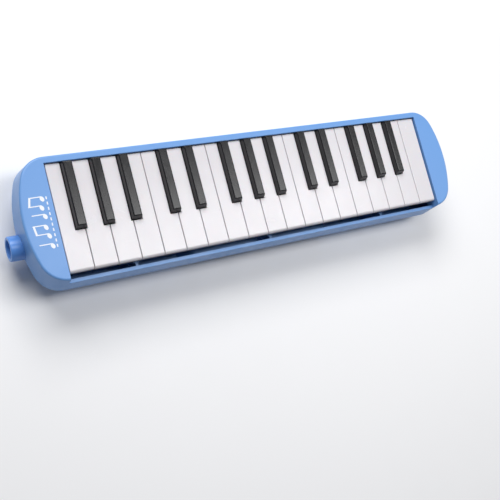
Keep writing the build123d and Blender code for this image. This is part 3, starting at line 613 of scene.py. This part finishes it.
def add_shank(bm, x, y, seat, tip, radius):
    """A threaded shank up from the head's seat, with a blunt point."""
    pitch = THREAD_PITCH * radius
    rows = int((tip - seat) / pitch * THREAD_ROWS)
    rings = []
    for row in range(rows + 1):
        z = seat + (tip - seat) * row / rows
        near_tip = min(1, (tip - z) / (POINT_LENGTH * radius) + POINT_RADIUS)
        ring = []
        for k in range(SCREW_SIDES):
            phase = (z / pitch - k / SCREW_SIDES) % 1
            groove = THREAD_DEPTH * min(1, abs(2 * phase - 1) * THREAD_SLOPE)
            reach = radius * (1 - groove) * near_tip
            turn = 2 * math.pi * k / SCREW_SIDES
            ring.append(bm.verts.new((x + reach * math.cos(turn), y + reach * math.sin(turn), z)))
        rings.append(ring)
    bm.faces.new(list(reversed(rings[0])))
    bm.faces.new(rings[-1])
    join_rings(bm, rings)


def add_screws(node):
    """Detailed screws in place of a node's plain ones, each turned its own way."""
    bm = bmesh.new()
    heads = {}
    for group in clusters(node, SOLIDS_APART):
        low, high = corners(group)
        x, y = (low.x + high.x) / 2, (low.y + high.y) / 2
        head_radius = (high.x - low.x) / 2
        end = [p for p in group if p.z > high.z - 0.01 * MM]
        radius = max((p.xy - Vector((x, y))).length for p in end)
        seat = min(p.z for p in group if (p.xy - Vector((x, y))).length < radius * 1.01)
        size = (round(head_radius, 6), round(seat - low.z, 6))
        if size not in heads:
            heads[size] = pan_head(*size)
        head = heads[size].copy()
        head.transform(Matrix.Translation((x, y, seat)) @ Matrix.Rotation(random.uniform(0, math.pi), 4, "Z"))
        bm.from_mesh(head)
        bpy.data.meshes.remove(head)
        add_shank(bm, x, y, seat, high.z, radius)
    piece = add_piece(node + "_threaded", bm, "screw_steel", smooth=False)
    piece.data.set_sharp_from_angle(angle=math.radians(38))
    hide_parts(node)


# ---- Reeds ----
REED_ROOT = 4.5 * MM
REED_STEPS = 14
TIP_WIDTH = 0.86  # of the root's width
TIP_THICKNESS = 0.45  # of the root's thickness
TIP_DROP = 0.25 * MM  # how far the tip stands off its slot
RIVET_RADIUS, RIVET_HEIGHT = 0.75 * MM, 0.35 * MM
RIVET_SIDES = 16
RIVET_PROFILE = ((1, 0), (1, 0.4), (0.7, 0.85), (0.3, 1))  # radius, height
REEDS_APART = 4 * MM  # least step along X between two reeds


def add_reeds(node):
    """Tapered tongues on their roots, each held by a rivet, in place of a node's plain strips."""
    bm = bmesh.new()
    for group in clusters_by_x(node, REEDS_APART):
        low, high = corners(group)
        middle, half = (low.x + high.x) / 2, (high.x - low.x) / 2
        rings = []
        for step in range(REED_STEPS + 1):
            y = low.y + (high.y - low.y) * step / REED_STEPS
            free = max(0, (y - low.y - REED_ROOT) / (high.y - low.y - REED_ROOT))
            wide = half * (1 + free * (TIP_WIDTH - 1))
            thick = (high.z - low.z) * (1 + free * (TIP_THICKNESS - 1))
            top = high.z - TIP_DROP * free * free
            rings.append([
                bm.verts.new(c)
                for c in (
                    (middle - wide, y, top - thick), (middle + wide, y, top - thick),
                    (middle + wide, y, top), (middle - wide, y, top),
                )
            ])
        bm.faces.new(list(reversed(rings[0])))
        bm.faces.new(rings[-1])
        join_rings(bm, rings)
        dome = []
        for share, drop in RIVET_PROFILE:
            dome.append([
                bm.verts.new((
                    middle + RIVET_RADIUS * share * math.cos(2 * math.pi * k / RIVET_SIDES),
                    low.y + REED_ROOT / 2 + RIVET_RADIUS * share * math.sin(2 * math.pi * k / RIVET_SIDES),
                    low.z - RIVET_HEIGHT * drop,
                ))
                for k in range(RIVET_SIDES)
            ])
        bm.faces.new(dome[0])
        bm.faces.new(dome[-1])
        join_rings(bm, dome)
    piece = add_piece(node + "_tapered", bm, "reed_brass", smooth=False)
    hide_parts(node)


def clusters_by_x(name, apart):
    """Vertices of a row of solids along X, split where there is a step of more than apart."""
    points = sorted((v.co for v in NODES[name].data.vertices), key=lambda p: p.x)
    groups = [[points[0]]]
    for before, point in zip(points, points[1:]):
        if point.x - before.x > apart:
            groups.append([])
        groups[-1].append(point)
    return groups


# ---- Hand strap ----
STRAP_SAG = 1.1 * MM
STRAP_HELD = 31 * MM  # length of each end that lies flat in its pocket
STRAP_LENGTH_STEPS = 180
STRAP_WIDTH_STEPS = 24
SELVEDGE = 2.6 * MM
GROOVE_THICKNESS, GROOVE_DEPTH = 0.82, 0.18  # of the strap's thickness, in the groove beside each selvedge
STITCH_ROWS = (17.0 * MM, 20.5 * MM)  # from each end of the strap
STITCH_COUNT = 13
STITCH_LENGTH, STITCH_WIDTH, STITCH_HEIGHT = 1.9 * MM, 0.55 * MM, 0.22 * MM
STITCH_OFFSET = 0.42  # of the strap's thickness, out from its middle
STITCH_TURN = 0.08


def strap_drop(x, low, high):
    """How far the strap hangs below its clamped height at x."""
    start, end = low.x + STRAP_HELD, high.x - STRAP_HELD
    share = min(max((x - start) / (end - start), 0), 1)
    return STRAP_SAG * math.sin(math.pi * share) ** 1.5


def add_strap():
    """Woven hand strap with a groove beside each selvedge, hanging slightly between its clamps."""
    low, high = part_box("hand_strap")
    thick, half = high.z - low.z, (high.y - low.y) / 2
    bm = bmesh.new()
    rings = []
    for i in range(STRAP_LENGTH_STEPS + 1):
        x = low.x + (high.x - low.x) * i / STRAP_LENGTH_STEPS
        middle = (low.z + high.z) / 2 - strap_drop(x, low, high)
        over, under = [], []
        for j in range(STRAP_WIDTH_STEPS + 1):
            y = -half + 2 * half * j / STRAP_WIDTH_STEPS
            edge = min(1, (half - abs(y)) / SELVEDGE)
            body = thick / 2 * (GROOVE_THICKNESS + GROOVE_DEPTH * math.cos(math.pi * edge) ** 2)
            body *= math.sqrt(max(0.06, min(1, edge * 4)))
            over.append(bm.verts.new((x, y, middle + body)))
            under.append(bm.verts.new((x, y, middle - body)))
        rings.append(over + list(reversed(under)))
    bm.faces.new(rings[0])
    bm.faces.new(list(reversed(rings[-1])))
    join_rings(bm, rings)
    strap = add_piece("hand_strap_woven", bm, "strap_webbing")
    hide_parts("hand_strap")
    stitches = add_stitches(low, high, thick)


def add_stitches(low, high, thick):
    """Rows of thread across the strap beside each clamp, on both of its faces."""
    bm = bmesh.new()
    half = (high.y - low.y) / 2 - 2 * SELVEDGE
    for end, inward in ((low.x, 1), (high.x, -1)):
        for row in STITCH_ROWS:
            x = end + inward * row
            for k in range(STITCH_COUNT):
                y = -half + 2 * half * k / (STITCH_COUNT - 1)
                for face in (-1, 1):
                    z = (low.z + high.z) / 2 - strap_drop(x, low, high) + face * thick * STITCH_OFFSET
                    turn = random.uniform(-STITCH_TURN, STITCH_TURN)
                    size = Matrix.Diagonal((STITCH_WIDTH / 2, STITCH_LENGTH / 2, STITCH_HEIGHT, 1))
                    place = Matrix.Translation((x, y, z)) @ Matrix.Rotation(turn, 4, "Z") @ size
                    bmesh.ops.create_uvsphere(bm, u_segments=10, v_segments=6, radius=1, matrix=place)
    return add_piece("strap_stitching", bm, "thread")


# ---- Build ----
dress_cad_nodes()
add_print()
add_key_springs()
add_valve_spring()
for screws in ("case_screws", "key_frame_screws", "chamber_screws", "strap_screws", "reed_plate_screws"):
    add_screws(screws)
for reeds in ("reeds_low", "reeds_high"):
    add_reeds(reeds)
add_strap()

# ---- Stage ----
add_camera()
for light in LIGHTS:
    add_softbox(*light)
add_world(WORLD_STRENGTH)
bpy.context.scene.view_settings.view_transform = "Standard"

floor_mesh = bpy.data.meshes.new("floor")
floor_points = [(x * FLOOR_HALF, y * FLOOR_HALF, FLOOR_Z) for x, y in FLOOR_CORNERS]
floor_mesh.from_pydata(floor_points, [], [(0, 1, 2, 3)])
floor_mesh.materials.append(pale_floor("floor"))
floor = bpy.data.objects.new("floor", floor_mesh)
bpy.context.scene.collection.objects.link(floor)
